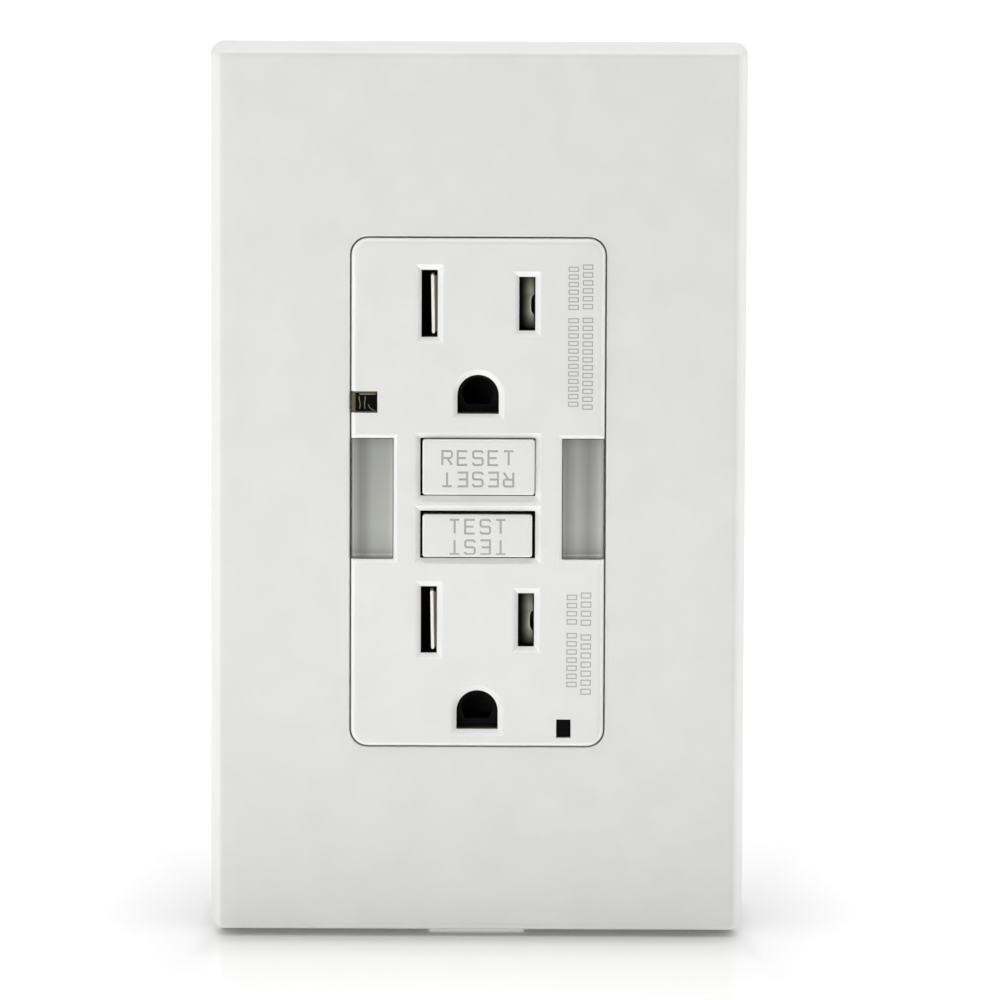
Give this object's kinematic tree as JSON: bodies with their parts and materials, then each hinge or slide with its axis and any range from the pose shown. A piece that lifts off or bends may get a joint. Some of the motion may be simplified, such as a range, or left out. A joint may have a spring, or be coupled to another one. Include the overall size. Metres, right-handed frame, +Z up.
{
  "type": "gfci outlet",
  "caption": "Ground-fault duplex receptacle with reset and test buttons, guide-light lenses, photocell window and a plain screwless wall plate.",
  "frame": {"origin": "on the finished wall surface, in the back plane of the mounting strap, midway between the two mounting screws", "axes": "+X to the right seen from the room, +Y into the wall along the mounting screws, +Z up"},
  "size_m": [0.0702, 0.0347, 0.1172],
  "materials": {
    "plate_plastic": "satin",
    "face_plastic": "satin",
    "frame_plastic": "matte",
    "housing_plastic": "matte",
    "inner_plastic": "matte",
    "fibre": "matte",
    "zinc_steel": "satin",
    "white_screw": "gloss",
    "nickel_plate": "polished",
    "brass": "satin",
    "contact_silver": "satin",
    "ground_green": "gloss",
    "coil_wire": "gloss",
    "core_coating": "matte",
    "board_laminate": "satin",
    "disc_coating": "satin",
    "capacitor_case": "satin",
    "chip_package": "matte",
    "lamp_epoxy": "clear",
    "frosted_lens": "frosted",
    "smoked_window": "smoked"
  },
  "bodies": {
    "body": {"sub_plate": "frame_plastic", "sub_plate_screws": "white_screw", "mounting_screws": "zinc_steel", "screw_retainers": "fibre", "front_cover": "face_plastic", "mounting_strap": "zinc_steel", "rear_housing": "housing_plastic", "housing_screws": "zinc_steel", "middle_frame": "inner_plastic", "load_bus_hot": "brass", "load_bus_neutral": "brass", "fixed_contacts": "contact_silver", "line_terminal_hot": "brass", "line_terminal_neutral": "brass", "terminal_screws_brass": "brass", "terminal_screws_silver": "nickel_plate", "clamp_plates_brass": "brass", "clamp_plates_silver": "nickel_plate", "ground_contact_upper": "brass", "ground_contact_lower": "brass", "ground_rivets": "zinc_steel", "ground_screw": "ground_green", "reset_spring": "zinc_steel", "carriage_spring": "zinc_steel", "arm_posts": "brass", "plunger_spring": "zinc_steel", "solenoid_bobbin": "inner_plastic", "solenoid_coil": "coil_wire", "solenoid_frame": "zinc_steel", "transformer_bobbin": "inner_plastic", "sense_core": "core_coating", "neutral_core": "core_coating", "line_conductors": "coil_wire", "circuit_board": "board_laminate", "surge_disc": "disc_coating", "film_capacitor": "capacitor_case", "controller_chip": "chip_package", "switching_thyristor": "chip_package", "resistors": "chip_package", "guide_leds": "lamp_epoxy", "photocell": "lamp_epoxy", "status_led": "lamp_epoxy", "guide_light_lens_left": "frosted_lens", "guide_light_lens_right": "frosted_lens", "photocell_window": "smoked_window", "status_light_pipe": "smoked_window"},
    "plate": {"wall_plate": "plate_plastic"},
    "reset": {"reset_button": "face_plastic", "reset_pin": "zinc_steel"},
    "test": {"test_button": "face_plastic"},
    "test_arm": {"test_contact_arm": "brass"},
    "carriage": {"contact_carriage": "inner_plastic"},
    "arm_hot": {"contact_arm_hot": "brass", "moving_contact_hot": "contact_silver"},
    "arm_neutral": {"contact_arm_neutral": "brass", "moving_contact_neutral": "contact_silver"},
    "plunger": {"plunger": "zinc_steel", "latch_slide": "zinc_steel"}
  },
  "joints": [
    {"name": "wall_plate_pull", "type": "slide", "parent": "body", "child": "plate", "axis": [0, -1, 0], "range_m": [0, 0.012]},
    {"name": "reset_press", "type": "slide", "parent": "body", "child": "reset", "axis": [0, 1, 0], "range_m": [0, 0.0028], "stiffness_N_per_m": 600, "springref_m": -0.002, "deforming": ["reset_spring"]},
    {"name": "test_press", "type": "slide", "parent": "body", "child": "test", "axis": [0, 1, 0], "range_m": [0, 0.0018], "stiffness_N_per_m": 300, "springref_m": -0.001},
    {"name": "test_arm_flex", "type": "hinge", "parent": "body", "child": "test_arm", "pos_m": [0, 0.00415, -0.0108], "axis": [-1, 0, 0], "range_deg": [0, 19.5]},
    {"name": "carriage_lift", "type": "slide", "parent": "body", "child": "carriage", "axis": [0, -1, 0], "range_m": [0, 0.002], "stiffness_N_per_m": 300, "springref_m": -0.001, "deforming": ["carriage_spring"]},
    {"name": "arm_hot_flex", "type": "hinge", "parent": "body", "child": "arm_hot", "pos_m": [0.00635, 0.0134, 0.013], "axis": [-1, 0, 0], "range_deg": [0, 6]},
    {"name": "arm_neutral_flex", "type": "hinge", "parent": "body", "child": "arm_neutral", "pos_m": [-0.00635, 0.0134, 0.013], "axis": [-1, 0, 0], "range_deg": [0, 6]},
    {"name": "plunger_stroke", "type": "slide", "parent": "body", "child": "plunger", "axis": [0, 0, -1], "range_m": [0, 0.002], "stiffness_N_per_m": 200, "springref_m": -0.001, "deforming": ["plunger_spring"]}
  ],
  "couplings": [
    {"joint": "test_arm_flex", "follows": "test_press", "rad_per_m": 187},
    {"joint": "arm_hot_flex", "follows": "carriage_lift", "rad_per_m": 51.25},
    {"joint": "arm_neutral_flex", "follows": "carriage_lift", "rad_per_m": 51.25}
  ]
}
